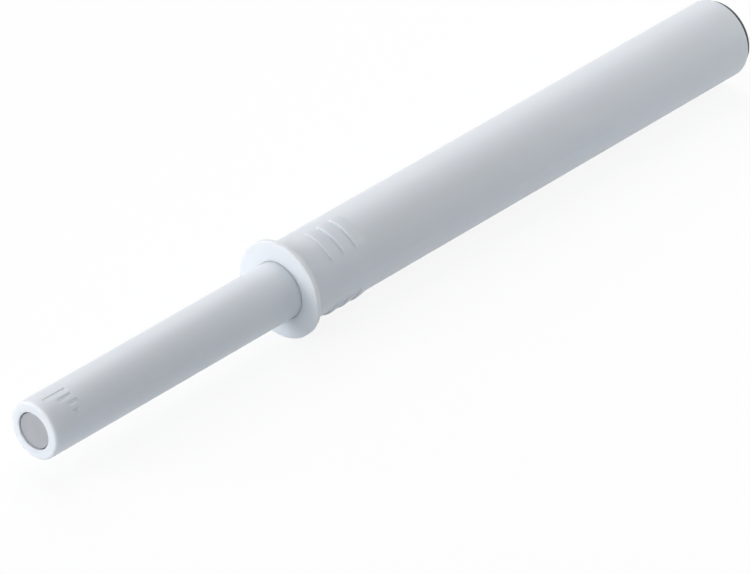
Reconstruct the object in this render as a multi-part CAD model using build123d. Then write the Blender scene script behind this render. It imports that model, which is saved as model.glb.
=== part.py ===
from build123d import *

import os
from math import cos, radians, sin

# Millimetres. The latch lies along Y: the plunger points to -Y and the barrel runs back to +Y.
# The origin is the centre of the collar's rear face, which seats on the edge of the cabinet board.
# "front" and "rear" are places along Y. Angles are turned about +Y, and 0 is straight up.

# Barrel, a close fit in a 10 mm drilled hole
BARREL_DIAMETER = 9.7
BARREL_LENGTH = 75.0
BARREL_END_RADIUS = 0.5
GUIDE_END = 10.0
MAIN_BORE = 7.8
GUIDE_CHAMFER = 0.04

# Collar that stops the barrel at the mouth of the hole
COLLAR_DIAMETER = 11.7
COLLAR_THICKNESS = 0.6
COLLAR_EDGE_RADIUS = 0.15

# Barbs that bite into the wood: short ridges, steep in front and falling away in a bulge behind.
# BARB_MIDDLE is the share of the height that is left halfway down the slope.
BARB_HEIGHT = 0.22
BARB_PITCH = 1.97
BARB_COUNT = 3
FIRST_BARB = 4.12
BARB_FACE = 0.05
BARB_SLOPE = 1.7
BARB_MIDDLE = 0.68
BARB_GROUPS = 3
BARB_SPAN = 60.0
BARB_TURN = 22.0

# Plunger, drawn fully out
PLUNGER_DIAMETER = 6.86
PLUNGER_CLEARANCE = 0.05
TIP_REACH = 39.0
TIP_EDGE_RADIUS = 0.35
TAIL_GAP = 0.3
TAIL_CHAMFER = 0.2
PLUNGER_WEB = 2.2
STROKE = 37.4

# Magnet in the plunger's tip
POCKET_DIAMETER = 4.46
POCKET_CHAMFER = 0.04
MAGNET_CLEARANCE = 0.13
MAGNET_LENGTH = 5.0
MAGNET_RECESS = 0.2
MAGNET_CHAMFER = 0.06

# Screw adjustment between plunger and carrier
SPIGOT_DIAMETER = 5.0
SPIGOT_LENGTH = 12.0
SPIGOT_CHAMFER = 0.3
THREAD_CLEARANCE = 0.05
ADJUST_IN = 1.0

# Carrier that slides in the barrel
STOP_GAP = 0.05
HEAD_LENGTH = 6.0
HEAD_CLEARANCE = 0.05
HEAD_CHAMFER = 0.3
STEM_STEP = 0.1
NECK_DIAMETER = 5.4
SNAP_HEIGHT = 0.2
SNAP_WIDTH = 0.45
SNAP_LEAD = 0.4
SNAP_SLOT = 0.6

# Keys that keep carrier and index sleeve from turning in the barrel
KEY_WIDTH = 1.1
KEY_RADIUS = 4.32
KEY_SINK = 0.4
KEY_SIDE_CLEARANCE = 0.05
KEY_TOP_CLEARANCE = 0.08
KEY_COUNT = 2
KEY_TURN = 45.0

# Rotary index: lugs, catches and rear teeth
INDEX_COUNT = 4
RING_CLEARANCE = 0.05
RING_WALL = 0.45
RING_END = 0.8
LUG_BITE = 0.3
LUG_LENGTH = 3.0
LUG_SPAN = 20.0
SAW_SLOPE = 0.6
CATCH_CLEARANCE = 0.15
CATCH_BODY = 3.0
SLOT_CLEARANCE_ANGLE = 3.0
LUG_CLEARANCE = 0.1
TOOTH_COUNT = 8
TOOTH_GAP = 0.1
LIFT_CLEARANCE = 0.2

# Index sleeve and plug, pushed into the rear of the barrel
INSERT_BORE = 8.3
INSERT_CLEARANCE = 0.02
PLUG_PROUD = 0.6
PLUG_EDGE_CHAMFER = 0.08
PLUG_THICKNESS = 3.5
TOOTH_TUBE = 1.2
TOOTH_INNER_CLEARANCE = 0.1
TOOTH_OUTER_CLEARANCE = 0.05
BEAD_HEIGHT = 0.12
BEAD_WIDTH = 0.5
BEAD_INSET = 1.6
BOSS_LENGTH = 3.0
BOSS_CHAMFER = 0.3

# Return spring, with closed and ground ends
WIRE_DIAMETER = 0.4
WIRE_SIDES = 6
SPRING_DIAMETER = 3.8
ACTIVE_COILS = 14
END_COILS = 1.25
END_PITCH = 0.42
GROUND_DEPTH = 0.1
SPRING_SEAT_DEPTH = 1.5
SPRING_BORE_CLEARANCE = 0.15
SPRING_BOSS_CLEARANCE = 0.1
SPRING_END_GAP = 0.01

# Radii that the pieces share, from the neck outwards
GUIDE_RADIUS = PLUNGER_DIAMETER / 2 + PLUNGER_CLEARANCE
BARREL_RADIUS = BARREL_DIAMETER / 2
SPRING_RADIUS = SPRING_DIAMETER / 2
SPRING_BORE_RADIUS = SPRING_RADIUS + WIRE_DIAMETER / 2 + SPRING_BORE_CLEARANCE
BOSS_RADIUS = SPRING_RADIUS - WIRE_DIAMETER / 2 - SPRING_BOSS_CLEARANCE
NECK_RADIUS = NECK_DIAMETER / 2
RING_INNER_RADIUS = NECK_RADIUS + RING_CLEARANCE
RING_OUTER_RADIUS = RING_INNER_RADIUS + RING_WALL
STEM_RADIUS = RING_OUTER_RADIUS - STEM_STEP
CATCH_INNER_RADIUS = RING_OUTER_RADIUS + CATCH_CLEARANCE
LUG_RADIUS = CATCH_INNER_RADIUS + LUG_BITE
WEB_INNER_RADIUS = LUG_RADIUS + LUG_CLEARANCE
TOOTH_INNER_RADIUS = RING_OUTER_RADIUS + TOOTH_INNER_CLEARANCE
TOOTH_OUTER_RADIUS = WEB_INNER_RADIUS - TOOTH_OUTER_CLEARANCE
INSERT_RADIUS = INSERT_BORE / 2 - INSERT_CLEARANCE
FLANGE_RADIUS = BARREL_RADIUS - BARREL_END_RADIUS

# Places along Y at the front, from the tip and the guide
TIP_FACE = -TIP_REACH
PLUNGER_TAIL = GUIDE_END - ADJUST_IN - TAIL_GAP
POCKET_FLOOR = TIP_FACE + MAGNET_RECESS + MAGNET_LENGTH + STOP_GAP
HEAD_FRONT = GUIDE_END + STOP_GAP
HEAD_REAR = HEAD_FRONT + HEAD_LENGTH
SPRING_FRONT = HEAD_FRONT + SPRING_SEAT_DEPTH

# Places along Y at the rear, back from the plug
PLUG_REAR = BARREL_LENGTH + PLUG_PROUD
PLUG_FRONT = PLUG_REAR - PLUG_THICKNESS
TOOTH_ROOT = PLUG_FRONT - TOOTH_TUBE
HALF_TOOTH = 180.0 / TOOTH_COUNT
TOOTH_RISE = SAW_SLOPE * TOOTH_OUTER_RADIUS * sin(radians(HALF_TOOTH))
TOOTH_MIDDLE = TOOTH_ROOT - TOOTH_RISE
TOOTH_MIDDLE_ANGLE = LUG_SPAN / 2

# The rotor stands one stroke in front of the rear teeth, and the carrier's stem reaches it
LUG_LIFT = SAW_SLOPE * LUG_RADIUS * sin(radians(LUG_SPAN / 2))
LUG_REAR = TOOTH_MIDDLE - LUG_LIFT - TOOTH_GAP - STROKE
LUG_FRONT = LUG_REAR - LUG_LENGTH
RING_FRONT = LUG_FRONT - RING_END
RING_REAR = LUG_REAR + LUG_LIFT
STEM_REAR = RING_FRONT - STOP_GAP
SNAP_FRONT = RING_REAR + STOP_GAP
NECK_REAR = SNAP_FRONT + SNAP_WIDTH + SNAP_LEAD

# The catches end where a lug that has been pushed home is clear of them
INDEX_STEP = 360.0 / INDEX_COUNT
SLOT_HALF_ANGLE = LUG_SPAN / 2 + SLOT_CLEARANCE_ANGLE
CATCH_STOP_ANGLE = INDEX_STEP / 2 + LUG_SPAN / 2
CATCH_WIDE_SPAN = CATCH_STOP_ANGLE - SLOT_HALF_ANGLE
CATCH_NARROW_SPAN = INDEX_STEP - SLOT_HALF_ANGLE - CATCH_STOP_ANGLE
CATCH_RISE = 2 * SAW_SLOPE * WEB_INNER_RADIUS * sin(radians(CATCH_WIDE_SPAN / 2))
CATCH_TOP = LUG_FRONT + STROKE - LUG_LIFT - LIFT_CLEARANCE
CATCH_NOTCH = CATCH_TOP - CATCH_RISE
SLEEVE_FRONT = CATCH_NOTCH - CATCH_BODY

# Depth by which a solid that is joined to another reaches into it
OVERLAP = 0.1


def turned(*points):
    """Solid of revolution about Y from (radius, y) corners."""
    return revolve(make_face(Polyline(*points, close=True)), axis=Axis.Y)


def tube(inner, outer, front, rear):
    """Plain tube about Y."""
    return turned((inner, front), (outer, front), (outer, rear), (inner, rear))


def rod(radius, front, rear):
    """Plain rod about Y."""
    return tube(0, radius, front, rear)


def edges_at(solid, y, radius):
    """Circular edges about Y at one place and radius."""
    return [
        edge for edge in solid.edges().filter_by(GeomType.CIRCLE)
        if abs(edge.center().Y - y) < 1e-4 and abs(edge.radius - radius) < 1e-4
    ]


def ring_sector(points, middle, span):
    """Part of a turned ring, span degrees wide and centred on the angle middle."""
    face = make_face(Polyline(*points, close=True))
    sector = revolve(face, axis=Axis.Y, revolution_arc=span)
    return Rot(0, middle - 90 - span / 2, 0) * sector


def block_sector(inner, outer, front, rear, middle, span):
    """Ring sector of rectangular section."""
    corners = ((inner, front), (outer, front), (outer, rear), (inner, rear))
    return ring_sector(corners, middle, span)


def saw_plane(middle, level, slope):
    """Plane across the axis, tilted about the radius at the angle middle."""
    turn = radians(middle)
    along = Vector(cos(turn), 0, -sin(turn))
    return Plane(origin=(0, level, 0), z_dir=Vector(0, 1, 0) - along * slope)


def saw_sector(inner, outer, front, rear, middle, span, level, slope, keep):
    """Ring sector whose end is cut to a sloping saw face."""
    block = block_sector(inner, outer, front, rear, middle, span)
    return split(block, bisect_by=saw_plane(middle, level, slope), keep=keep)


def keys(width, root, radius, front, rear):
    """Keys round the axis, from the root out to the given radius."""
    height = radius - root
    bar = Pos(0, (front + rear) / 2, root + height / 2) * Box(width, rear - front, height)
    step = 360.0 / KEY_COUNT
    return [Rot(0, KEY_TURN + step * number, 0) * bar for number in range(KEY_COUNT)]


def bead(radius, height):
    """Snap ring that holds the plug, as a V on the given radius."""
    middle = BARREL_LENGTH - BEAD_INSET
    half = BEAD_WIDTH / 2
    return turned(
        (radius - OVERLAP, middle - half),
        (radius, middle - half),
        (radius + height, middle),
        (radius, middle + half),
        (radius - OVERLAP, middle + half),
    )


def barbs():
    """Groups of short ridges round the barrel, just behind the collar."""
    root = BARREL_RADIUS - OVERLAP
    ridges = []
    for group in range(BARB_GROUPS):
        middle = BARB_TURN + group * 360.0 / BARB_GROUPS
        for number in range(BARB_COUNT):
            crest = FIRST_BARB + number * BARB_PITCH
            corners = (
                (root, crest - BARB_FACE),
                (BARREL_RADIUS, crest - BARB_FACE),
                (BARREL_RADIUS + BARB_HEIGHT, crest),
                (BARREL_RADIUS + BARB_MIDDLE * BARB_HEIGHT, crest + BARB_SLOPE / 2),
                (BARREL_RADIUS, crest + BARB_SLOPE),
                (root, crest + BARB_SLOPE),
            )
            ridges.append(ring_sector(corners, middle, BARB_SPAN))
    return ridges


def housing():
    """Barrel, collar and barbs in one moulding, bored in steps for what slides in it."""
    body = rod(BARREL_RADIUS, 0, BARREL_LENGTH)
    body += rod(COLLAR_DIAMETER / 2, -COLLAR_THICKNESS, 0)
    body = fillet(edges_at(body, BARREL_LENGTH, BARREL_RADIUS), BARREL_END_RADIUS)
    body = fillet(edges_at(body, -COLLAR_THICKNESS, COLLAR_DIAMETER / 2), COLLAR_EDGE_RADIUS)
    body += barbs()
    body -= rod(GUIDE_RADIUS, -COLLAR_THICKNESS, GUIDE_END)
    body -= rod(MAIN_BORE / 2, GUIDE_END, BARREL_LENGTH)
    body -= rod(INSERT_BORE / 2, SLEEVE_FRONT, BARREL_LENGTH)
    body -= bead(INSERT_BORE / 2, BEAD_HEIGHT + INSERT_CLEARANCE)
    body -= keys(KEY_WIDTH + 2 * KEY_SIDE_CLEARANCE, MAIN_BORE / 2 - KEY_SINK,
                 KEY_RADIUS + KEY_TOP_CLEARANCE, GUIDE_END, BARREL_LENGTH - BEAD_INSET)
    return chamfer(edges_at(body, -COLLAR_THICKNESS, GUIDE_RADIUS), GUIDE_CHAMFER)


def plunger_sleeve():
    """Tube that leaves the barrel, with the magnet's pocket in its rounded tip."""
    radius = PLUNGER_DIAMETER / 2
    body = rod(radius, TIP_FACE, PLUNGER_TAIL)
    body = fillet(edges_at(body, TIP_FACE, radius), TIP_EDGE_RADIUS)
    body = chamfer(edges_at(body, PLUNGER_TAIL, radius), TAIL_CHAMFER)
    body -= rod(SPIGOT_DIAMETER / 2 + THREAD_CLEARANCE, POCKET_FLOOR + PLUNGER_WEB, PLUNGER_TAIL)
    body -= rod(POCKET_DIAMETER / 2, TIP_FACE, POCKET_FLOOR)
    return chamfer(edges_at(body, TIP_FACE, POCKET_DIAMETER / 2), POCKET_CHAMFER)


def magnet():
    """Disc magnet, set a little back from the tip's face."""
    radius = POCKET_DIAMETER / 2 - MAGNET_CLEARANCE
    front = TIP_FACE + MAGNET_RECESS
    rear = front + MAGNET_LENGTH
    body = rod(radius, front, rear)
    return chamfer(edges_at(body, front, radius) + edges_at(body, rear, radius), MAGNET_CHAMFER)


def carrier():
    """Slider: screw spigot, keyed head, stem, and the neck that the rotor turns on."""
    head_radius = MAIN_BORE / 2 - HEAD_CLEARANCE
    body = rod(SPIGOT_DIAMETER / 2, HEAD_FRONT - SPIGOT_LENGTH, HEAD_FRONT)
    body = chamfer(edges_at(body, HEAD_FRONT - SPIGOT_LENGTH, SPIGOT_DIAMETER / 2), SPIGOT_CHAMFER)
    head = rod(head_radius, HEAD_FRONT, HEAD_REAR)
    body += chamfer(edges_at(head, HEAD_REAR, head_radius), HEAD_CHAMFER)
    body += rod(STEM_RADIUS, HEAD_REAR, STEM_REAR)
    body += turned(
        (0, STEM_REAR),
        (NECK_RADIUS, STEM_REAR),
        (NECK_RADIUS, SNAP_FRONT),
        (NECK_RADIUS + SNAP_HEIGHT, SNAP_FRONT),
        (NECK_RADIUS + SNAP_HEIGHT, SNAP_FRONT + SNAP_WIDTH),
        (NECK_RADIUS, NECK_REAR),
        (0, NECK_REAR),
    )
    body += keys(KEY_WIDTH, head_radius - KEY_SINK, KEY_RADIUS,
                 HEAD_FRONT, HEAD_REAR - HEAD_CHAMFER)
    body -= rod(SPRING_BORE_RADIUS, SPRING_FRONT, NECK_REAR)
    slot_length = NECK_REAR - STEM_REAR
    slot = Pos(0, STEM_REAR + slot_length / 2, 0) * Box(SNAP_SLOT, slot_length, 2 * STEM_RADIUS)
    body -= [slot, Rot(0, 90, 0) * slot]
    return body


def index_rotor():
    """Ring with sloping-ended lugs, turned one step by each push and each return."""
    body = tube(RING_INNER_RADIUS, RING_OUTER_RADIUS, RING_FRONT, RING_REAR)
    for number in range(INDEX_COUNT):
        middle = number * INDEX_STEP
        lug = saw_sector(
            RING_OUTER_RADIUS - OVERLAP, LUG_RADIUS, LUG_FRONT - LUG_LIFT, RING_REAR,
            middle, LUG_SPAN, LUG_FRONT, -SAW_SLOPE, Keep.TOP,
        )
        body += split(lug, bisect_by=saw_plane(middle, LUG_REAR, SAW_SLOPE), keep=Keep.BOTTOM)
    return body


def catch(first, span):
    """Catch inside the index sleeve, with a sloping rear end that rises from its notch."""
    rise = SAW_SLOPE * WEB_INNER_RADIUS * sin(radians(span / 2))
    return saw_sector(
        CATCH_INNER_RADIUS, WEB_INNER_RADIUS + OVERLAP, SLEEVE_FRONT,
        CATCH_NOTCH + 2 * rise + OVERLAP,
        first + span / 2, span, CATCH_NOTCH + rise, -SAW_SLOPE, Keep.BOTTOM,
    )


def index_sleeve():
    """Sleeve with slots that let the lugs by, and catches between them that hold the lugs."""
    body = tube(WEB_INNER_RADIUS, INSERT_RADIUS, SLEEVE_FRONT, TOOTH_ROOT)
    for number in range(INDEX_COUNT):
        start = number * INDEX_STEP
        body += catch(start + SLOT_HALF_ANGLE, CATCH_WIDE_SPAN)
        body += catch(start + CATCH_STOP_ANGLE, CATCH_NARROW_SPAN)
    body += keys(KEY_WIDTH, WEB_INNER_RADIUS + OVERLAP, KEY_RADIUS, SLEEVE_FRONT, CATCH_NOTCH)
    return body


def rear_plug():
    """Dark end plug: flange, saw teeth that turn the rotor, the spring's seat and its boss."""
    flange = rod(FLANGE_RADIUS, BARREL_LENGTH + INSERT_CLEARANCE, PLUG_REAR)
    body = chamfer(edges_at(flange, PLUG_REAR, FLANGE_RADIUS), PLUG_EDGE_CHAMFER)
    body += rod(INSERT_RADIUS, PLUG_FRONT, PLUG_REAR)
    body += tube(TOOTH_INNER_RADIUS, INSERT_RADIUS, TOOTH_ROOT, PLUG_FRONT)
    body += bead(INSERT_RADIUS, BEAD_HEIGHT)
    for number in range(TOOTH_COUNT):
        middle = TOOTH_MIDDLE_ANGLE + number * 2 * HALF_TOOTH
        body += saw_sector(
            TOOTH_INNER_RADIUS, TOOTH_OUTER_RADIUS, TOOTH_MIDDLE - TOOTH_RISE,
            TOOTH_ROOT + OVERLAP, middle, 2 * HALF_TOOTH, TOOTH_MIDDLE, SAW_SLOPE, Keep.TOP,
        )
    boss = rod(BOSS_RADIUS, PLUG_FRONT - BOSS_LENGTH, PLUG_FRONT)
    body += chamfer(edges_at(boss, PLUG_FRONT - BOSS_LENGTH, BOSS_RADIUS), BOSS_CHAMFER)
    return body


def coil(pitch, turns, height, turned_by):
    """One stretch of the spring's centre line, standing along Z at the given height and turn."""
    path = Helix(pitch=pitch, height=pitch * turns, radius=SPRING_RADIUS)
    return (Pos(0, 0, height) * Rot(0, 0, 360 * turned_by) * path).edge()


def return_spring():
    """Compression spring from the plug to the carrier's seat, its six-sided wire ground flat at both ends."""
    length = PLUG_FRONT - SPRING_FRONT - 2 * SPRING_END_GAP
    end_height = END_COILS * END_PITCH
    active_height = length - WIRE_DIAMETER + 2 * GROUND_DEPTH - 2 * end_height
    path = Wire([
        coil(END_PITCH, END_COILS, 0, 0),
        coil(active_height / ACTIVE_COILS, ACTIVE_COILS, end_height, END_COILS),
        coil(END_PITCH, END_COILS, end_height + active_height, END_COILS + ACTIVE_COILS),
    ])
    section = Plane(origin=path @ 0, z_dir=path % 0) * RegularPolygon(WIRE_DIAMETER / 2, WIRE_SIDES)
    body = sweep(section, path=path, transition=Transition.TRANSFORMED)
    ground = GROUND_DEPTH - WIRE_DIAMETER / 2
    body = split(body, bisect_by=Plane(origin=(0, 0, ground)), keep=Keep.TOP)
    body = split(body, bisect_by=Plane(origin=(0, 0, ground + length)), keep=Keep.BOTTOM)
    return Pos(0, PLUG_FRONT - SPRING_END_GAP + ground, 0) * Rot(90, 0, 0) * body


def main():
    """Write one STEP file for each piece."""
    os.makedirs("parts", exist_ok=True)
    pieces = {
        "housing": housing(),
        "plunger_sleeve": plunger_sleeve(),
        "magnet": magnet(),
        "carrier": carrier(),
        "index_rotor": index_rotor(),
        "index_sleeve": index_sleeve(),
        "rear_plug": rear_plug(),
        "return_spring": return_spring(),
    }
    for name, piece in pieces.items():
        piece.label = name
        export_step(piece, f"parts/{name}.step")


main()
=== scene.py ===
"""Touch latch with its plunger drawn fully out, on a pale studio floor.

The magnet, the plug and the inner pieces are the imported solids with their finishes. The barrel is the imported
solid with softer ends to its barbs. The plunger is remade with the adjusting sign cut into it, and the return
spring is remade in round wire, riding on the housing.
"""
import logging
from dataclasses import dataclass, field
from enum import Enum
from math import atan2, cos, degrees, hypot, inf, pi, radians, sin, tau

import bpy
from mathutils import Matrix, Vector


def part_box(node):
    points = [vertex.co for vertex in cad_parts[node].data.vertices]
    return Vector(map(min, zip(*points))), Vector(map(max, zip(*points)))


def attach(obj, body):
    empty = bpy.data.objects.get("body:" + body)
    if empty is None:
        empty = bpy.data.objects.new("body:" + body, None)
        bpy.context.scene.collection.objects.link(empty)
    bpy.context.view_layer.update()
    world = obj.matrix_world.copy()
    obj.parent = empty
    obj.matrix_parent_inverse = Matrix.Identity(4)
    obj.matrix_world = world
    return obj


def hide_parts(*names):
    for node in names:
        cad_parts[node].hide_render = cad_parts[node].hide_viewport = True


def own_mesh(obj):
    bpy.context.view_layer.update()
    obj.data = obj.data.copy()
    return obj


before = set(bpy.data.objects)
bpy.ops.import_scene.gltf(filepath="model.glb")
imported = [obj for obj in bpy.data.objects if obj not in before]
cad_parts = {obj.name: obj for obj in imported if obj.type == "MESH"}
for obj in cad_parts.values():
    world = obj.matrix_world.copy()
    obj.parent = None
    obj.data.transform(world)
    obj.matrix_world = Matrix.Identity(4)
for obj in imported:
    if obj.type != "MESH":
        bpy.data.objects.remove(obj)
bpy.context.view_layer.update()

LOG = logging.getLogger("touch_latch")
MM = 0.001
Triple = tuple[float, float, float]
Colour = Triple
WHITE: Colour = (1.0, 1.0, 1.0)
# Places of the colour sockets in Blender's Mix node.
MIX_FACTOR, MIX_FIRST, MIX_SECOND, MIX_RESULT = 0, 6, 7, 2


class Slot(Enum):
    """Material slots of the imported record."""

    NYLON = "nylon"
    DARK = "dark_plastic"
    NATURAL = "natural_plastic"
    MAGNET = "magnet"
    WIRE = "spring_steel"


class Body(Enum):
    """Bodies that a remade piece can ride on."""

    HOUSING = "housing"
    PLUNGER = "plunger"


def held(share: float) -> float:
    """Share kept between 0 and 1."""
    return max(0.0, min(1.0, share))


def eased(share: float) -> float:
    """Share between 0 and 1, eased in and out."""
    return share * share * (3.0 - 2.0 * share)


def eased_change(share: float) -> float:
    """How fast eased() changes with the share."""
    return 6.0 * share * (1.0 - share)


def show(name: str, data: bpy.types.ID) -> bpy.types.Object:
    """Make an object and link it to the scene.

    Args:
        name: Name of the object.
        data: Its mesh, light or camera.

    Returns:
        The object.
    """
    shown = bpy.data.objects.new(name, data)
    bpy.context.scene.collection.objects.link(shown)
    return shown


@dataclass
class NodeSheet:
    """A node tree that is being filled, with short calls to add and feed nodes."""

    tree: bpy.types.NodeTree
    column: float = 0.0
    spacing: float = 190.0

    @classmethod
    def of(cls, owner: bpy.types.Material | bpy.types.World) -> "NodeSheet":
        """Clear the nodes of a material or of the room.

        Args:
            owner: The material or the world.

        Returns:
            The empty sheet.
        """
        owner.use_nodes = True
        owner.node_tree.nodes.clear()
        return cls(owner.node_tree)

    def add(self, kind: str, **settings: object) -> bpy.types.Node:
        """Add one node to the right of the last one.

        Args:
            kind: Blender's name for the node type.
            **settings: Properties to set on the node.

        Returns:
            The new node.
        """
        node = self.tree.nodes.new(kind)
        node.location = (self.column, 0.0)
        self.column += self.spacing
        for name, value in settings.items():
            setattr(node, name, value)
        return node

    def feed(self, node: bpy.types.Node, values: dict[str | int, object]) -> None:
        """Join sockets to a node's inputs, and set plain values on them.

        Args:
            node: The node.
            values: Socket or plain value for each input's name or number.
        """
        for key, value in values.items():
            if isinstance(value, bpy.types.NodeSocket):
                self.tree.links.new(value, node.inputs[key])
            else:
                node.inputs[key].default_value = value

    def math(self, operation: str, *values: float | bpy.types.NodeSocket,
             clamp: bool = False) -> bpy.types.NodeSocket:
        """Add a Math node.

        Args:
            operation: Name of the operation.
            *values: Numbers or sockets to work on, in order.
            clamp: Whether the result is kept between 0 and 1.

        Returns:
            The node's value socket.
        """
        node = self.add("ShaderNodeMath", operation=operation, use_clamp=clamp)
        self.feed(node, dict(enumerate(values)))
        return node.outputs[0]

    def weigh(self, first: bpy.types.NodeSocket, second: bpy.types.NodeSocket,
              weights: tuple[float, float]) -> bpy.types.NodeSocket:
        """Add two values up by their weights.

        Args:
            first: First value.
            second: Second value.
            weights: Weight of each.

        Returns:
            The sum's socket.
        """
        shares = [self.math("MULTIPLY", value, weight) for value, weight in zip((first, second), weights)]
        return self.math("ADD", *shares)

    def spread(self, value: bpy.types.NodeSocket, limits: tuple[float, float]) -> bpy.types.NodeSocket:
        """Stretch a range of values to 0 to 1.

        Args:
            value: The value.
            limits: Values that become 0 and 1.

        Returns:
            The stretched value's socket.
        """
        node = self.add("ShaderNodeMapRange")
        self.feed(node, {"Value": value, "From Min": limits[0], "From Max": limits[1]})
        return node.outputs["Result"]

    def noise(self, vector: bpy.types.NodeSocket, scale: float | bpy.types.NodeSocket, detail: float,
              rough: float = 0.5) -> bpy.types.NodeSocket:
        """Add a Noise Texture node.

        Args:
            vector: Coordinates.
            scale: Number or socket for the scale.
            detail: Number of octaves.
            rough: Share that each finer octave keeps.

        Returns:
            The node's factor socket.
        """
        node = self.add("ShaderNodeTexNoise")
        self.feed(node, {"Vector": vector, "Scale": scale, "Detail": detail, "Roughness": rough})
        return node.outputs["Fac"]

    def mix(self, factor: bpy.types.NodeSocket, first: bpy.types.NodeSocket,
            second: bpy.types.NodeSocket) -> bpy.types.NodeSocket:
        """Add a colour Mix node.

        Args:
            factor: Share of the second colour.
            first: First colour.
            second: Second colour.

        Returns:
            The mixed colour's socket.
        """
        node = self.add("ShaderNodeMix", data_type="RGBA")
        self.feed(node, {MIX_FACTOR: factor, MIX_FIRST: first, MIX_SECOND: second})
        return node.outputs[MIX_RESULT]


@dataclass
class Effects:
    """Shader node groups that several finishes share, each built once.

    A weight is a share of a sum. The scales of the broad grain and of the streaks are times the finish's own.
    """

    groups: dict[str, bpy.types.NodeTree] = field(default_factory=dict)
    plain_octaves: float = 2.0
    fine_octaves: float = 3.0
    fine_rough: float = 0.6
    broad_scale: float = 0.06
    grain_weights: tuple[float, float] = (0.7, 0.3)
    streak_scale: float = 6.0
    streak_octaves: float = 4.0
    streak_rough: float = 0.55
    tone_weights: tuple[float, float] = (0.6, 0.4)
    tone_limits: tuple[float, float] = (0.35, 0.65)
    # The edge fields and patch_scale shape the painted highlight on edges.
    edge_reach: float = 0.12 * MM
    edge_samples: int = 4
    edge_limits: tuple[float, float] = (0.995, 0.86)
    patch_scale: float = 900.0

    def use(self, sheet: NodeSheet, name: str, values: dict[str | int, object]) -> bpy.types.Node:
        """Place one effect in a material.

        Args:
            sheet: Node tree of the material.
            name: Name of the effect, which is also the name of the method that builds it.
            values: Socket or plain value for each of its inputs.

        Returns:
            The group node.
        """
        if name not in self.groups:
            self.groups[name] = getattr(self, name)()
        node = sheet.add("ShaderNodeGroup")
        node.node_tree = self.groups[name]
        sheet.feed(node, values)
        return node

    @staticmethod
    def start(name: str, inputs: dict[str, str], outputs: dict[str, str]) -> tuple[NodeSheet, bpy.types.Node]:
        """Start a group with named inputs and outputs.

        Args:
            name: Name of the group.
            inputs: Socket type for each input's name.
            outputs: Socket type for each output's name.

        Returns:
            The sheet to fill and its input node.
        """
        tree = bpy.data.node_groups.new(name, "ShaderNodeTree")
        for side, sockets in (("INPUT", inputs), ("OUTPUT", outputs)):
            for label, kind in sockets.items():
                tree.interface.new_socket(name=label, in_out=side, socket_type="NodeSocket" + kind)
        sheet = NodeSheet(tree)
        return sheet, sheet.add("NodeGroupInput")

    def mould_grain(self) -> bpy.types.NodeTree:
        """Fine spark-eroded grain of a moulded face, as a height and as a change of gloss.

        Returns:
            The node group.
        """
        sheet, given = self.start(
            "mould_grain", {"Vector": "Vector", "Scale": "Float"}, {"Height": "Float", "Gloss": "Float"},
        )
        place, scale = given.outputs["Vector"], given.outputs["Scale"]
        fine = sheet.noise(place, scale, self.fine_octaves, self.fine_rough)
        broad = sheet.noise(place, sheet.math("MULTIPLY", scale, self.broad_scale), self.plain_octaves)
        height = sheet.weigh(fine, broad, self.grain_weights)
        gloss = sheet.math("SUBTRACT", sheet.math("ADD", fine, broad), 1.0)
        sheet.feed(sheet.add("NodeGroupOutput"), {"Height": height, "Gloss": gloss})
        return sheet.tree

    def flow_tone(self) -> bpy.types.NodeTree:
        """Slow change of tone with faint streaks along the part, as the melt leaves in a moulding.

        Returns:
            The node group.
        """
        sheet, given = self.start(
            "flow_tone",
            {"Vector": "Vector", "Scale": "Float", "Stretch": "Vector", "Amount": "Float", "Colour": "Color",
             "Second": "Color"},
            {"Colour": "Color"},
        )
        place, scale = given.outputs["Vector"], given.outputs["Scale"]
        slow = sheet.noise(place, scale, self.plain_octaves)
        mapping = sheet.add("ShaderNodeMapping")
        sheet.feed(mapping, {"Vector": place, "Scale": given.outputs["Stretch"]})
        streaks = sheet.noise(
            mapping.outputs["Vector"], sheet.math("MULTIPLY", scale, self.streak_scale), self.streak_octaves,
            self.streak_rough,
        )
        mask = sheet.spread(sheet.weigh(slow, streaks, self.tone_weights), self.tone_limits)
        share = sheet.math("MULTIPLY", mask, given.outputs["Amount"], clamp=True)
        colour = sheet.mix(share, given.outputs["Colour"], given.outputs["Second"])
        sheet.feed(sheet.add("NodeGroupOutput"), {"Colour": colour})
        return sheet.tree

    def painted_edge_highlight(self) -> bpy.types.NodeTree:
        """Painted highlight on edges: a little lighter where edges would catch the light, found from the normal
        of a small bevel.

        Returns:
            The node group.
        """
        sheet, given = self.start(
            "painted_edge_highlight",
            {"Vector": "Vector", "Amount": "Float", "Colour": "Color", "Highlight": "Color"},
            {"Colour": "Color"},
        )
        rounded = sheet.add("ShaderNodeBevel", samples=self.edge_samples)
        sheet.feed(rounded, {"Radius": self.edge_reach})
        shape = sheet.add("ShaderNodeNewGeometry")
        match = sheet.add("ShaderNodeVectorMath", operation="DOT_PRODUCT")
        sheet.feed(match, {0: rounded.outputs["Normal"], 1: shape.outputs["Normal"]})
        # Painted highlight: a lighter colour laid on edges, where light would catch them, in noisy patches.
        edge = sheet.spread(match.outputs["Value"], self.edge_limits)
        patchy = sheet.noise(given.outputs["Vector"], self.patch_scale, self.plain_octaves)
        lit_edge = sheet.math("MULTIPLY", edge, patchy)
        lit_edge = sheet.math("MULTIPLY", lit_edge, given.outputs["Amount"], clamp=True)
        colour = sheet.mix(lit_edge, given.outputs["Colour"], given.outputs["Highlight"])
        sheet.feed(sheet.add("NodeGroupOutput"), {"Colour": colour})
        return sheet.tree


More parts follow.
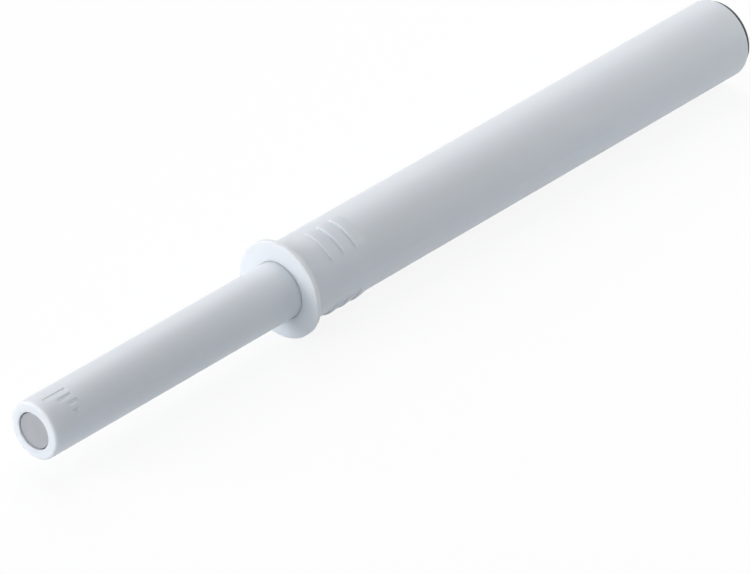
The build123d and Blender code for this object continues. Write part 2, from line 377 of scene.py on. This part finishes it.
@dataclass(frozen=True)
class Finish:
    """Surface that is laid on a piece: colour, gloss and fine relief.

    Lengths are in metres, and a scale is in waves to the metre.
    """

    name: str
    slot: Slot
    colour: Colour
    second: Colour
    # Lighter colour laid on edges as a painted highlight; its amount is set further down.
    highlight_colour: Colour
    roughness: float
    gloss_spread: float
    grain_scale: float
    grain_depth: float
    tone_scale: float
    tone_amount: float
    highlight_amount: float
    stretch: Triple = (1.0, 0.05, 1.0)
    metallic: float = 0.0
    subsurface: float = 0.0
    subsurface_reach: float = 1.0 * MM
    subsurface_tint: Colour = (1.0, 0.9, 0.8)
    ior: float = 1.5

    def make(self, effects: Effects) -> bpy.types.Material:
        """Build the material.

        Args:
            effects: The shared effects.

        Returns:
            The new material.
        """
        material = bpy.data.materials.new(self.name)
        sheet = NodeSheet.of(material)
        place = sheet.add("ShaderNodeTexCoord").outputs["Object"]
        colour = self.colouring(sheet, effects, place)
        grain = effects.use(sheet, "mould_grain", {"Vector": place, "Scale": self.grain_scale})
        bump = sheet.add("ShaderNodeBump")
        sheet.feed(bump, {"Strength": 1.0, "Distance": self.grain_depth, "Height": grain.outputs["Height"]})
        gloss = sheet.math("MULTIPLY_ADD", grain.outputs["Gloss"], self.gloss_spread, self.roughness)
        surface = sheet.add("ShaderNodeBsdfPrincipled")
        sheet.feed(surface, {
            "Base Color": colour,
            "Roughness": gloss,
            "Normal": bump.outputs["Normal"],
            "Metallic": self.metallic,
            "IOR": self.ior,
            "Subsurface Weight": self.subsurface,
            "Subsurface Scale": self.subsurface_reach,
            "Subsurface Radius": self.subsurface_tint,
        })
        sheet.feed(sheet.add("ShaderNodeOutputMaterial"), {"Surface": surface.outputs["BSDF"]})
        return material

    def colouring(self, sheet: NodeSheet, effects: Effects,
                  place: bpy.types.NodeSocket) -> bpy.types.NodeSocket:
        """Colour of the surface: the slow change of tone, with a painted highlight on the edges over it.

        Args:
            sheet: Node tree of the material.
            effects: The shared effects.
            place: Coordinates.

        Returns:
            The colour's socket.
        """
        tone = effects.use(sheet, "flow_tone", {
            "Vector": place,
            "Scale": self.tone_scale,
            "Stretch": self.stretch,
            "Amount": self.tone_amount,
            "Colour": (*self.colour, 1.0),
            "Second": (*self.second, 1.0),
        })
        # Painted highlight: edges made lighter, as if they catch the light.
        edge_light = effects.use(sheet, "painted_edge_highlight", {
            "Vector": place,
            "Amount": self.highlight_amount,
            "Colour": tone.outputs["Colour"],
            "Highlight": (*self.highlight_colour, 1.0),
        })
        return edge_light.outputs["Colour"]


# Each finish's third colour is a painted highlight laid on its edges.
WHITE_NYLON = Finish(
    name="white_nylon", slot=Slot.NYLON,
    colour=(0.78, 0.81, 0.85), second=(0.75, 0.785, 0.835), highlight_colour=(0.86, 0.88, 0.9),
    roughness=0.42, gloss_spread=0.12, grain_scale=9000.0, grain_depth=0.004 * MM,
    tone_scale=120.0, tone_amount=0.5, highlight_amount=0.6,
    subsurface=0.6, subsurface_reach=1.2 * MM,
)
DARK_PLUG = Finish(
    name="dark_moulding", slot=Slot.DARK,
    colour=(0.045, 0.05, 0.056), second=(0.06, 0.064, 0.07), highlight_colour=(0.12, 0.125, 0.13),
    roughness=0.5, gloss_spread=0.15, grain_scale=7000.0, grain_depth=0.006 * MM,
    tone_scale=200.0, tone_amount=0.6, highlight_amount=0.7,
)
NATURAL_ACETAL = Finish(
    name="natural_acetal", slot=Slot.NATURAL,
    colour=(0.74, 0.73, 0.68), second=(0.7, 0.69, 0.64), highlight_colour=(0.82, 0.81, 0.77),
    roughness=0.32, gloss_spread=0.1, grain_scale=11000.0, grain_depth=0.002 * MM,
    tone_scale=150.0, tone_amount=0.5, highlight_amount=0.5,
    subsurface=0.1, subsurface_reach=0.8 * MM,
)
DULL_NICKEL = Finish(
    name="dull_nickel", slot=Slot.MAGNET,
    colour=(0.44, 0.46, 0.49), second=(0.4, 0.42, 0.45), highlight_colour=(0.56, 0.57, 0.59),
    roughness=0.38, gloss_spread=0.14, grain_scale=14000.0, grain_depth=0.002 * MM,
    tone_scale=700.0, tone_amount=0.7, highlight_amount=0.5,
    stretch=(1.0, 1.0, 1.0), metallic=1.0,
)
DRAWN_WIRE = Finish(
    name="drawn_wire", slot=Slot.WIRE,
    colour=(0.55, 0.55, 0.56), second=(0.47, 0.47, 0.49), highlight_colour=(0.68, 0.68, 0.69),
    roughness=0.3, gloss_spread=0.12, grain_scale=16000.0, grain_depth=0.001 * MM,
    tone_scale=500.0, tone_amount=0.6, highlight_amount=0.3,
    stretch=(1.0, 1.0, 1.0), metallic=1.0,
)


@dataclass
class Wardrobe:
    """Makes each finish once and lays it on pieces."""

    effects: Effects = field(default_factory=Effects)
    made: dict[str, bpy.types.Material] = field(default_factory=dict)

    def dress(self, piece: bpy.types.Object, finish: Finish) -> None:
        """Lay a finish on a piece.

        Args:
            piece: Mesh object, remade or packed.
            finish: The finish to lay on it.
        """
        if finish.name not in self.made:
            self.made[finish.name] = finish.make(self.effects)
        piece.data.materials.clear()
        piece.data.materials.append(self.made[finish.name])


@dataclass
class MeshKit:
    """Builds meshes from rings of points, with creases over the sharp angle (in degrees)."""

    sharp_angle: float = 28.0

    def make(self, name: str, points: list[Vector], faces: list[tuple[int, ...]]) -> bpy.types.Object:
        """Make a smooth-shaded object whose creases stay sharp.

        Args:
            name: Name of the object.
            points: Vertices in metres.
            faces: Vertex numbers of each face.

        Returns:
            The object, linked to the scene.
        """
        mesh = bpy.data.meshes.new(name)
        mesh.from_pydata([tuple(point) for point in points], [], faces)
        mesh.validate()
        mesh.polygons.foreach_set("use_smooth", [True] * len(mesh.polygons))
        mesh.set_sharp_from_angle(angle=radians(self.sharp_angle))
        mesh.update()
        return show(name, mesh)

    @staticmethod
    def band(first: int, second: int, count: int) -> list[tuple[int, ...]]:
        """Quads between two closed rings of points.

        Args:
            first: Number of the first ring's first point.
            second: Number of the second ring's first point.
            count: Points in a ring.

        Returns:
            The quads.
        """
        return [
            (first + step, first + (step + 1) % count, second + (step + 1) % count, second + step)
            for step in range(count)
        ]


@dataclass
class Barrel:
    """Barrel moulding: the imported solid, with the ends of its barbs run out softly into the barrel.

    The fields' angles are in degrees, and a turn is an angle in radians, both from +Z towards +X.
    """

    radius: float = 4.85 * MM
    least_height: float = 0.005 * MM
    barbs_from: float = 4.0 * MM
    barbs_to: float = 9.9 * MM
    groups: int = 3
    first_middle: float = 22.0
    half_span: float = 30.0
    run_out: float = 6.0
    end_share: float = 0.12
    end_face_lean: float = 0.7

    @staticmethod
    def turn_at(point: Vector) -> float:
        """Turn of a point round the barrel."""
        return atan2(point.x, point.z)

    @staticmethod
    def ways_at(turn: float) -> tuple[Vector, Vector]:
        """Ways outward and round the barrel at a turn."""
        return Vector((sin(turn), 0.0, cos(turn))), Vector((cos(turn), 0.0, -sin(turn)))

    def share_at(self, turn: float) -> tuple[float, float]:
        """Share of a barb's height that is left at a turn.

        Args:
            turn: The turn.

        Returns:
            The share, and how fast it changes with the turn.
        """
        step = 360.0 / self.groups
        off = (degrees(turn) - self.first_middle + step / 2) % step - step / 2
        inward = held((self.half_span - abs(off)) / self.run_out)
        rise = 1.0 - self.end_share
        change = rise * eased_change(inward) / radians(self.run_out)
        return self.end_share + rise * eased(inward), -change if off > 0.0 else change

    def height(self, point: Vector) -> float:
        """Height of a barb's point over the barrel.

        Args:
            point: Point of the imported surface.

        Returns:
            The height in metres, 0 off the barbs.
        """
        height = hypot(point.x, point.z) - self.radius
        on_barb = self.barbs_from < point.y < self.barbs_to and height > self.least_height
        return height if on_barb else 0.0

    def soften(self, normal: Vector, point: Vector) -> Vector:
        """Normal of a barb's surface once its end is run out.

        Args:
            normal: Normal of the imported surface.
            point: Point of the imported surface.

        Returns:
            The new normal.
        """
        turn = self.turn_at(point)
        outward, round_way = self.ways_at(turn)
        share, change = self.share_at(turn)
        lean = normal.dot(outward)
        along = Vector((0.0, normal.y * share, 0.0))
        fall = lean * self.height(point) * change / self.radius
        return (outward * lean + along - round_way * fall).normalized()

    def soft_normals(self, mesh: bpy.types.Mesh) -> list[Vector]:
        """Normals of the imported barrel, bent on the barbs but not on their small end faces.

        Args:
            mesh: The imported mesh.

        Returns:
            One normal for each corner of each face.
        """
        normals = [corner.vector.copy() for corner in mesh.corner_normals]
        for face in mesh.polygons:
            corners = [(loop, mesh.vertices[mesh.loops[loop].vertex_index].co) for loop in face.loop_indices]
            round_way = self.ways_at(self.turn_at(face.center))[1]
            is_end = abs(face.normal.dot(round_way)) > self.end_face_lean
            if not is_end and any(self.height(point) for _, point in corners):
                for loop, point in corners:
                    normals[loop] = self.soften(normals[loop], point)
        return normals

    def build(self) -> bpy.types.Object:
        """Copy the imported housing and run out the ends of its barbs.

        Returns:
            The barrel.
        """
        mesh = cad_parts["housing"].data.copy()
        mesh.name = "barrel_moulding"
        normals = self.soft_normals(mesh)
        for vertex in mesh.vertices:
            height = self.height(vertex.co)
            if height:
                turn = self.turn_at(vertex.co)
                out = self.radius + height * self.share_at(turn)[0]
                vertex.co = (out * sin(turn), vertex.co.y, out * cos(turn))
        mesh.normals_split_custom_set(normals)
        mesh.update()
        return show(mesh.name, mesh)

    def fit(self, wardrobe: Wardrobe) -> bpy.types.Object:
        """Build and dress the barrel and put it on its body.

        Args:
            wardrobe: The finishes.

        Returns:
            The barrel.
        """
        piece = self.build()
        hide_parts("housing")
        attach(piece, Body.HOUSING.value)
        wardrobe.dress(piece, WHITE_NYLON)
        return piece


@dataclass(frozen=True)
class Mark:
    """One recessed shape of the adjusting sign.

    Corners are (angle in degrees from +X towards +Z, distance in metres behind the tip's face).
    """

    corners: tuple[tuple[float, float], ...]

    def inside(self, radius: float, angle: float, back: float) -> float:
        """How far a point lies inside the shape, on the unrolled surface.

        Args:
            radius: Radius of the surface in metres.
            angle: The point's angle in degrees.
            back: The point's distance behind the tip's face in metres.

        Returns:
            The distance to the outline in metres, negative outside.
        """
        flat = [(radius * radians(corner[0]), corner[1]) for corner in self.corners]
        u, v = radius * radians(angle), back
        nearest = inf
        within = False
        for (u1, v1), (u2, v2) in zip(flat, flat[1:] + flat[:1]):
            du, dv = u2 - u1, v2 - v1
            share = held(((u - u1) * du + (v - v1) * dv) / (du * du + dv * dv))
            nearest = min(nearest, hypot(u - u1 - share * du, v - v1 - share * dv))
            if (v1 > v) != (v2 > v) and u < u1 + du * (v - v1) / dv:
                within = not within
        return nearest if within else -nearest


@dataclass
class AdjustingSign:
    """Generic sign for the screw adjustment, cut into the plunger.

    It is three bars of falling length and a triangle. A bar is (angle in degrees from +X towards +Z, start,
    end), and both ends are in metres behind the tip's face.
    """

    depth: float = 0.11 * MM
    edge: float = 0.1 * MM
    bar_width: float = 0.46 * MM
    bars: tuple[tuple[float, float, float], ...] = (
        (84.4, 1.29 * MM, 4.66 * MM),
        (68.4, 2.54 * MM, 4.57 * MM),
        (53.4, 3.52 * MM, 4.70 * MM),
    )
    triangle: tuple[tuple[float, float], ...] = ((41.0, 3.34 * MM), (41.0, 4.41 * MM), (24.0, 3.93 * MM))
    angles: tuple[float, float] = (20.0, 92.0)
    reach: tuple[float, float] = (1.1 * MM, 4.9 * MM)

    def marks(self, radius: float) -> list[Mark]:
        """The shapes of the sign on a surface of the given radius.

        Args:
            radius: Radius of the surface in metres.

        Returns:
            One mark for each bar, and the triangle.
        """
        half = degrees(self.bar_width / 2 / radius)
        shapes = [
            Mark(((middle - half, start), (middle + half, start), (middle + half, end), (middle - half, end)))
            for middle, start, end in self.bars
        ]
        return shapes + [Mark(self.triangle)]

    def depth_at(self, marks: list[Mark], radius: float, angle: float, back: float) -> float:
        """Depth of the sign at a point.

        Args:
            marks: The shapes, from marks().
            radius: Radius of the surface in metres.
            angle: The point's angle in degrees.
            back: The point's distance behind the tip's face in metres.

        Returns:
            The depth in metres, 0 outside the sign.
        """
        if not (self.angles[0] < angle < self.angles[1] and self.reach[0] < back < self.reach[1]):
            return 0.0
        inside = max(mark.inside(radius, angle, back) for mark in marks)
        # The cut is half as deep on the outline itself.
        return self.depth * eased(held(inside / self.edge + 0.5))


@dataclass
class Plunger:
    """White plunger tube with a rounded tip, the magnet's pocket, the screw bore and the sign."""

    pocket_radius: float = 2.23 * MM
    pocket_chamfer: float = 0.04 * MM
    pocket_depth: float = 5.25 * MM
    tip_radius: float = 0.35 * MM
    web: float = 2.2 * MM
    bore_radius: float = 2.55 * MM
    tail_chamfer: float = 0.2 * MM
    fine_step: float = 0.05 * MM
    fine_turn: float = 0.8
    coarse_turn: float = 4.0
    tip_steps: int = 10
    plain_rows: int = 12
    sign: AdjustingSign = field(default_factory=AdjustingSign)

    def profile(self, front: float, rear: float, radius: float) -> list[tuple[float, float]]:
        """Outline of half the tube's section.

        Args:
            front: Place of the tip's face along Y.
            rear: Place of the tail's face along Y.
            radius: Outer radius.

        Returns:
            (radius, y) points from the pocket's floor round the outside to the end of the bore.
        """
        floor = front + self.pocket_depth
        points = [
            (self.pocket_radius, floor), (self.pocket_radius, front + self.pocket_chamfer),
            (self.pocket_radius + self.pocket_chamfer, front), (radius - self.tip_radius, front),
        ]
        for step in range(1, self.tip_steps + 1):
            turn = pi / 2 * step / self.tip_steps
            inward, back = self.tip_radius * (1 - sin(turn)), self.tip_radius * (1 - cos(turn))
            points.append((radius - inward, front + back))
        start, end = self.sign.reach
        rows = int((end - start) / self.fine_step)
        points += [(radius, front + start + (end - start) * row / rows) for row in range(rows + 1)]
        plain = (rear - self.tail_chamfer) - (front + end)
        points += [
            (radius, front + end + plain * row / self.plain_rows) for row in range(1, self.plain_rows + 1)
        ]
        points += [
            (radius - self.tail_chamfer, rear),
            (self.bore_radius, rear),
            (self.bore_radius, floor + self.web),
        ]
        return points

    def turns(self) -> list[float]:
        """Places of the lengthwise rows of points, close together where the sign is.

        Returns:
            The angles in degrees from +X towards +Z.
        """
        low, high = self.sign.angles
        fine = int((high - low) / self.fine_turn)
        coarse = int((360.0 - high + low) / self.coarse_turn)
        return ([low + (high - low) * step / fine for step in range(fine)]
                + [high + (360.0 - high + low) * step / coarse for step in range(coarse)])

    def build(self, kit: MeshKit) -> bpy.types.Object:
        """Build the plunger in place of its solid.

        Args:
            kit: The mesh builder.

        Returns:
            The plunger.
        """
        low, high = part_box("plunger_sleeve")
        front, rear, radius = low[1], high[1], (high[0] - low[0]) / 2
        turns = self.turns()
        marks = self.sign.marks(radius)
        points: list[Vector] = []
        faces: list[tuple[int, ...]] = []
        outline = self.profile(front, rear, radius)
        for out, y in outline:
            for turn in turns:
                cut = self.sign.depth_at(marks, radius, turn, y - front) if out == radius else 0.0
                angle = radians(turn)
                points.append(Vector(((out - cut) * cos(angle), y, (out - cut) * sin(angle))))
        count = len(turns)
        for ring in range(len(outline) - 1):
            faces += kit.band(ring * count, (ring + 1) * count, count)
        for ring, flip in ((0, True), (len(outline) - 1, False)):
            centre = len(points)
            points.append(Vector((0.0, outline[ring][1], 0.0)))
            for step in range(count):
                pair = (ring * count + step, ring * count + (step + 1) % count)
                faces.append((centre, *pair) if not flip else (centre, *reversed(pair)))
        return kit.make("plunger_tube", points, faces)

    def fit(self, kit: MeshKit, wardrobe: Wardrobe) -> bpy.types.Object:
        """Build and dress the plunger and put it on its body.

        Args:
            kit: The mesh builder.
            wardrobe: The finishes.

        Returns:
            The plunger.
        """
        piece = self.build(kit)
        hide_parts("plunger_sleeve")
        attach(piece, Body.PLUNGER.value)
        wardrobe.dress(piece, WHITE_NYLON)
        return piece


@dataclass
class ReturnSpring:
    """Round-wire compression spring with closed and ground ends."""

    wire_radius: float = 0.2 * MM
    mean_radius: float = 1.9 * MM
    coils: float = 14.0
    end_coils: float = 1.25
    end_pitch: float = 0.42 * MM
    ground: float = 0.1 * MM
    stroke: float = 37.4 * MM
    steps_per_turn: int = 28
    sides: int = 10

    def height_at(self, turn: float, active: float) -> float:
        """Height of the wire's centre above its start.

        Args:
            turn: Turns from the start.
            active: Height of the active coils together.

        Returns:
            The height in metres.
        """
        end = self.end_coils * self.end_pitch
        if turn < self.end_coils:
            return turn * self.end_pitch
        if turn < self.end_coils + self.coils:
            return end + active * (turn - self.end_coils) / self.coils
        return end + active + (turn - self.end_coils - self.coils) * self.end_pitch

    def build(self, kit: MeshKit) -> bpy.types.Object:
        """Build the coil from the plug forwards.

        Args:
            kit: The mesh builder.

        Returns:
            The coil.
        """
        low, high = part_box("return_spring")
        front, rear = low[1], high[1]
        ends = self.wire_radius - self.ground + self.end_coils * self.end_pitch
        active = rear - front - 2 * ends
        total = self.coils + 2 * self.end_coils
        steps = int(total * self.steps_per_turn)
        start = rear + self.ground - self.wire_radius
        along = Vector((0.0, 1.0, 0.0))
        points: list[Vector] = []
        faces: list[tuple[int, ...]] = []
        for step in range(steps + 1):
            turn = total * step / steps
            out = Vector((cos(tau * turn), 0.0, sin(tau * turn)))
            centre = out * self.mean_radius + Vector((0.0, start - self.height_at(turn, active), 0.0))
            for side in range(self.sides):
                angle = tau * side / self.sides
                point = centre + (out * cos(angle) + along * sin(angle)) * self.wire_radius
                point.y = max(front, min(rear, point.y))
                points.append(point)
            if step:
                faces += kit.band((step - 1) * self.sides, step * self.sides, self.sides)
        faces.append(tuple(range(self.sides)))
        faces.append(tuple(reversed(range(steps * self.sides, (steps + 1) * self.sides))))
        return kit.make("spring_coil", points, faces)

    def fit(self, kit: MeshKit, wardrobe: Wardrobe) -> bpy.types.Object:
        """Build and dress the spring and put it on the housing's body.

        Args:
            kit: The mesh builder.
            wardrobe: The finishes.

        Returns:
            The spring.
        """
        piece = self.build(kit)
        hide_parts("return_spring")
        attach(piece, Body.HOUSING.value)
        wardrobe.dress(piece, DRAWN_WIRE)
        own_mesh(piece)
        return piece


@dataclass
class PackedPieces:
    """Solids that are shown as they were packed, each with its finish."""

    finishes: dict[str, Finish] = field(default_factory=lambda: {
        "magnet": DULL_NICKEL,
        "carrier": NATURAL_ACETAL,
        "index_rotor": NATURAL_ACETAL,
        "index_sleeve": NATURAL_ACETAL,
        "rear_plug": DARK_PLUG,
    })

    def fit(self, wardrobe: Wardrobe) -> list[bpy.types.Object]:
        """Dress the solids.

        Args:
            wardrobe: The finishes.

        Returns:
            The dressed objects.
        """
        dressed = []
        for name, finish in self.finishes.items():
            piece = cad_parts[name]
            wardrobe.dress(piece, finish)
            dressed.append(piece)
        return dressed


@dataclass
class Camera:
    """Long lens at the photograph's angle, aimed at the collar.

    The angles are in degrees, the lens in millimetres and the lengths in metres.
    """

    azimuth: float = 42.2
    elevation: float = 31.93
    distance: float = 0.75
    beside: float = 10.23 * MM
    above: float = 0.114 * MM
    lens: float = 326.7
    clip_start: float = 0.01

    def build(self) -> None:
        """Add the camera and make it the scene's own."""
        turn, lift = radians(self.azimuth), radians(self.elevation)
        back = Vector((sin(turn) * cos(lift), -cos(turn) * cos(lift), sin(lift)))
        right = Vector((cos(turn), sin(turn), 0.0))
        up = back.cross(right)
        place = back * self.distance + right * self.beside + up * self.above
        data = bpy.data.cameras.new("camera")
        data.lens = self.lens
        data.clip_start = self.clip_start
        camera = show("camera", data)
        camera.matrix_world = Matrix.Translation(place) @ Matrix((right, up, back)).transposed().to_4x4()
        bpy.context.scene.camera = camera


@dataclass(frozen=True)
class Lamp:
    """Round soft light, aimed at the collar from a given way."""

    name: str
    way: Triple
    power: float
    size: float = 0.9
    distance: float = 1.2

    def hang(self) -> None:
        """Hang the light."""
        data = bpy.data.lights.new(self.name, "AREA")
        data.shape = "DISK"
        data.size = self.size
        data.energy = self.power
        light = show(self.name, data)
        way = Vector(self.way).normalized()
        light.location = way * self.distance
        light.rotation_euler = way.to_track_quat("Z", "Y").to_euler()


@dataclass
class Studio:
    """Pale floor, even white room and soft lights.

    The large lights are in front and above, and a small one is at the right rear. The floor's colour
    and the room's light are what lights the part. What the camera sees of both is white.
    """

    floor_size: float = 6.0
    floor_gap: float = 0.05 * MM
    floor_colour: Colour = (0.92, 0.95, 0.98)
    floor_seen: Colour = (0.15, 0.15, 0.15)
    floor_glow: float = 0.87
    room_colour: Colour = (0.95, 1.0, 1.05)
    room_light: float = 0.15
    room_seen: float = 1.0
    lamps: tuple[Lamp, ...] = (
        Lamp("front_left", (-0.6, -0.8, 0.2), 9.6),
        Lamp("front", (0.05, -1.0, 0.1), 1.4),
        Lamp("front_up", (-0.25, -0.8, 0.45), 2.4),
        Lamp("front_right", (0.6, -0.7, 0.5), 1.0),
        Lamp("top", (-0.1, 0.2, 1.0), 3.6),
        Lamp("top_left", (-0.6, 0.35, 0.7), 3.5),
        Lamp("rear_right", (0.44, 0.78, 0.44), 0.036, size=0.12, distance=0.18),
    )

    def floor(self) -> None:
        """Lay the floor just under the collar."""
        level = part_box("housing")[0][2] - self.floor_gap
        half = self.floor_size / 2
        mesh = bpy.data.meshes.new("floor")
        corners = [(-half, -half, level), (half, -half, level), (half, half, level), (-half, half, level)]
        mesh.from_pydata(corners, [], [(0, 1, 2, 3)])
        mesh.materials.append(self.floor_material())
        floor = show("floor", mesh)

    def floor_material(self) -> bpy.types.Material:
        """White matt floor that reads as paper white to the camera and still takes the shadow.

        Returns:
            The material.
        """
        material = bpy.data.materials.new("floor_white")
        sheet = NodeSheet.of(material)
        lit = sheet.add("ShaderNodeBsdfDiffuse")
        sheet.feed(lit, {"Color": (*self.floor_colour, 1.0)})
        shadowed = sheet.add("ShaderNodeBsdfDiffuse")
        sheet.feed(shadowed, {"Color": (*self.floor_seen, 1.0)})
        glow = sheet.add("ShaderNodeEmission")
        sheet.feed(glow, {"Strength": self.floor_glow})
        shown = sheet.add("ShaderNodeAddShader")
        sheet.feed(shown, {0: shadowed.outputs[0], 1: glow.outputs[0]})
        self.choose(sheet, lit, shown, "ShaderNodeOutputMaterial")
        return material

    def room(self) -> None:
        """Light the room evenly and show it white."""
        world = bpy.data.worlds.new("room")
        sheet = NodeSheet.of(world)
        lit, shown = sheet.add("ShaderNodeBackground"), sheet.add("ShaderNodeBackground")
        sheet.feed(lit, {"Color": (*self.room_colour, 1.0), "Strength": self.room_light})
        sheet.feed(shown, {"Color": (*WHITE, 1.0), "Strength": self.room_seen})
        self.choose(sheet, lit, shown, "ShaderNodeOutputWorld")
        bpy.context.scene.world = world

    @staticmethod
    def choose(sheet: NodeSheet, lit: bpy.types.Node, shown: bpy.types.Node, end: str) -> None:
        """Show one shader to the camera and to what metal and glass reflect, and light the part by another.

        Args:
            sheet: Node tree of the floor or the room.
            lit: Shader that lights the part.
            shown: Shader that is seen.
            end: Blender's name for the output node's type.
        """
        path = sheet.add("ShaderNodeLightPath")
        first = sheet.math("MAXIMUM", path.outputs["Is Camera Ray"], path.outputs["Is Glossy Ray"])
        seen = sheet.math("MAXIMUM", first, path.outputs["Is Transmission Ray"])
        choice = sheet.add("ShaderNodeMixShader")
        sheet.feed(choice, {0: seen, 1: lit.outputs[0], 2: shown.outputs[0]})
        sheet.feed(sheet.add(end), {"Surface": choice.outputs[0]})

    def build(self) -> None:
        """Set up floor, room and lights, and plain colour management."""
        self.floor()
        self.room()
        for lamp in self.lamps:
            lamp.hang()
        bpy.context.scene.view_settings.view_transform = "Standard"


def main() -> None:
    """Build every sub-assembly in order."""
    logging.basicConfig(level=logging.INFO)
    kit = MeshKit()
    wardrobe = Wardrobe()
    for piece in PackedPieces().fit(wardrobe):
        LOG.info("dressed %s", piece.name)
    remade = (Barrel().fit(wardrobe), Plunger().fit(kit, wardrobe), ReturnSpring().fit(kit, wardrobe))
    for piece in remade:
        LOG.info("built %s with %d faces", piece.name, len(piece.data.polygons))
    Studio().build()
    Camera().build()


if __name__ == "__main__":
    main()
